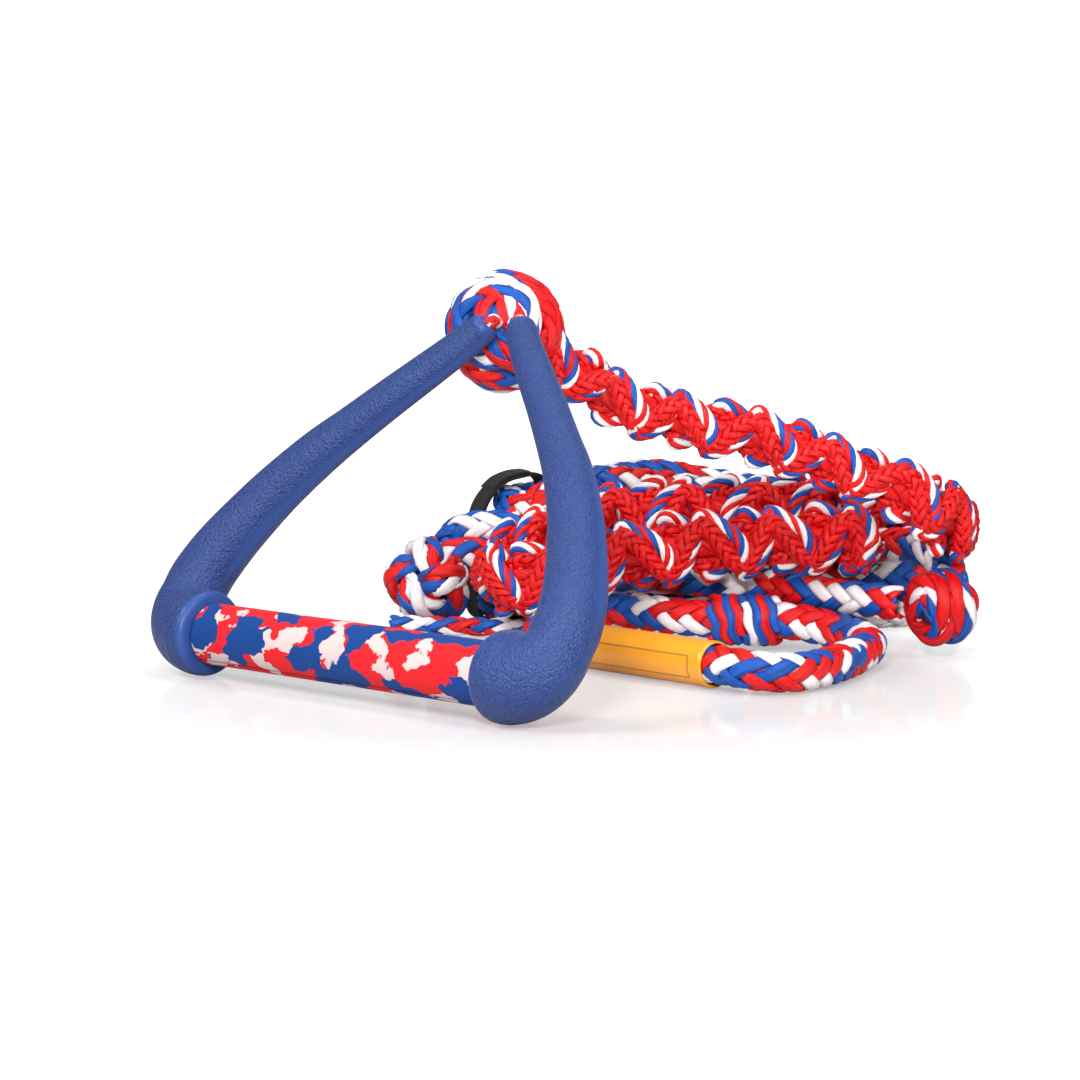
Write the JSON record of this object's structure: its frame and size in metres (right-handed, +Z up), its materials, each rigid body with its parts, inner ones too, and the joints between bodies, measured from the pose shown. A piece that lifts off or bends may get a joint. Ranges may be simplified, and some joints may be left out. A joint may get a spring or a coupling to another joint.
{
  "type": "tow rope handle",
  "caption": "Wake surf tow rope handle: foam A-frame grip, woven knot and red plaited line with a hanked tri-colour rope behind it.",
  "frame": {"origin": "on the floor under the hanked rope, in the middle of the face it rests on", "axes": "+X along the grip bar, +Y from the handle towards the rope, +Z up"},
  "size_m": [0.3041, 0.4277, 0.1824],
  "materials": {
    "foam_blue": "pebbled moulded EVA foam",
    "foam_camo": "matte marbled EVA foam in red, white and blue",
    "tube_metal": "satin",
    "bush_plastic": "moulded nylon",
    "red_plait": "glossy polypropylene braid",
    "tricolour_line": "glossy polypropylene braid in red, white and blue",
    "yellow_vinyl": "semi-gloss vinyl tube",
    "black_webbing": "hook-and-loop webbing"
  },
  "bodies": {
    "hank": {"mainline_hank": "tricolour_line", "mainline_lead": "tricolour_line", "plait_on_hank": "red_plait", "left_knot": "tricolour_line", "left_knot_tail": "tricolour_line", "right_knot": "tricolour_line", "end_loop": "tricolour_line", "barrel_knot": "tricolour_line", "keeper_strap": "black_webbing"},
    "plait_a": {"plait_span_4": "red_plait"},
    "plait_b": {"plait_span_3": "red_plait"},
    "plait_c": {"plait_span_2": "red_plait"},
    "plait_d": {"plait_span_1": "red_plait"},
    "knot": {"apex_knot": "tricolour_line"},
    "handle": {"handle_tube": "tube_metal", "grip_sleeve": "foam_camo", "left_arm": "foam_blue", "right_arm": "foam_blue", "left_tube_bushing": "bush_plastic", "right_tube_bushing": "bush_plastic", "bridle_rope": "tricolour_line"},
    "sleeve": {"warning_sleeve": "yellow_vinyl"},
    "strap_tab": {"keeper_tab": "black_webbing"}
  },
  "joints": [
    {"name": "plait_swing_a", "type": "hinge", "parent": "hank", "child": "plait_a", "pos_m": [0.13576, -0.05515, 0.0915], "axis": [0, 0, 1], "range_deg": [-8, 8]},
    {"name": "plait_lift_b", "type": "hinge", "parent": "plait_a", "child": "plait_b", "pos_m": [0.1096, -0.08132, 0.1055], "axis": [-0.7071, 0.7071, 0], "range_deg": [-4, 12]},
    {"name": "plait_swing_c", "type": "hinge", "parent": "plait_b", "child": "plait_c", "pos_m": [0.08485, -0.10607, 0.1135], "axis": [0, 0, 1], "range_deg": [-10, 10]},
    {"name": "plait_lift_d", "type": "hinge", "parent": "plait_c", "child": "plait_d", "pos_m": [0.06081, -0.13011, 0.123], "axis": [-0.7071, 0.7071, 0], "range_deg": [-4, 10]},
    {"name": "knot_twist", "type": "hinge", "parent": "plait_d", "child": "knot", "pos_m": [0.0198, -0.16617, 0.157], "axis": [-0.6375, -0.5606, 0.5285], "range_deg": [-6, 15]},
    {"name": "handle_pitch", "type": "hinge", "parent": "knot", "child": "handle", "pos_m": [0.0198, -0.16617, 0.157], "axis": [1, 0, 0], "range_deg": [-55, 3]},
    {"name": "sleeve_slide", "type": "slide", "parent": "hank", "child": "sleeve", "axis": [0.9983, -0.0584, 0], "range_m": [-0.006, 0.008]},
    {"name": "tab_peel", "type": "hinge", "parent": "hank", "child": "strap_tab", "pos_m": [-0.08591, -0.05268, 0.07688], "axis": [-0.7071, 0.7071, 0], "range_deg": [0, 90]}
  ]
}
